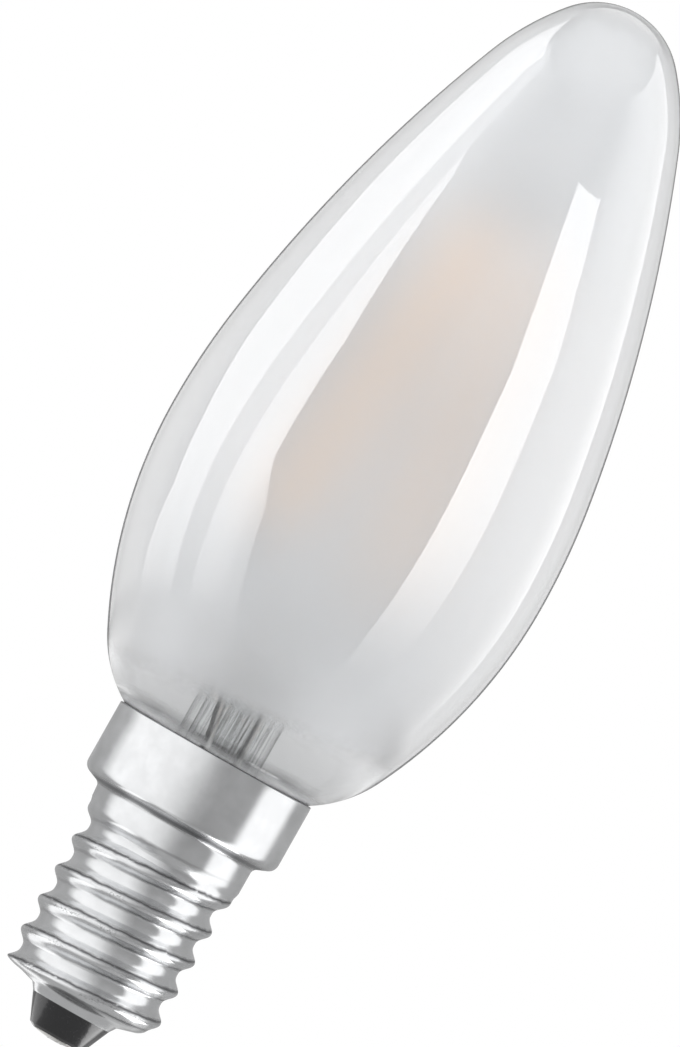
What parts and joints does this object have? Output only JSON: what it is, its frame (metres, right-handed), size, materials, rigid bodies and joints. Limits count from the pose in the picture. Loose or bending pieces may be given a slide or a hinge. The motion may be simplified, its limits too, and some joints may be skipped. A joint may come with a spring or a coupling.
{
  "type": "candle bulb",
  "caption": "Frosted candle-shaped glass lamp with a clear neck, inner stem and long yellow filaments, on a small metal screw cap with a black insulator.",
  "frame": {"origin": "middle of the centre contact's lowest face, the flat end of its solder plug", "axes": "+Z along the lamp's axis from the contact to the glass tip; the picture looks along +Y"},
  "size_m": [0.0346, 0.0346, 0.0969],
  "materials": {
    "frosted_glass": "frosted, with a clear band at the neck",
    "clear_glass": "clear",
    "black_glass": "glossy black",
    "cap_metal": "satin",
    "contact_metal": "satin",
    "solder": "dull",
    "cement": "matt",
    "wire_metal": "satin",
    "yellow_coat": "matt",
    "circuit_board": "satin",
    "capacitor_sleeve": "gloss",
    "black_moulding": "matt",
    "resistor_coat": "gloss"
  },
  "bodies": {
    "root": {"glass_envelope": "frosted_glass", "glass_stem": "clear_glass", "exhaust_tube": "clear_glass", "support_rod": "clear_glass", "cap_insulator": "black_glass", "cap_shell": "cap_metal", "centre_contact": "contact_metal", "contact_solder": "solder", "cap_cement": "cement", "lead_wire_front": "wire_metal", "lead_wire_back": "wire_metal", "top_wire": "wire_metal", "contact_lead": "wire_metal", "shell_lead": "wire_metal", "filament_front_foot_tab": "wire_metal", "filament_front_head_tab": "wire_metal", "filament_back_foot_tab": "wire_metal", "filament_back_head_tab": "wire_metal", "filament_front": "yellow_coat", "filament_back": "yellow_coat", "driver_board": "circuit_board", "smoothing_capacitor": "capacitor_sleeve", "rectifier": "black_moulding", "driver_chip": "black_moulding", "fuse_resistor": "resistor_coat"}
  },
  "joints": []
}
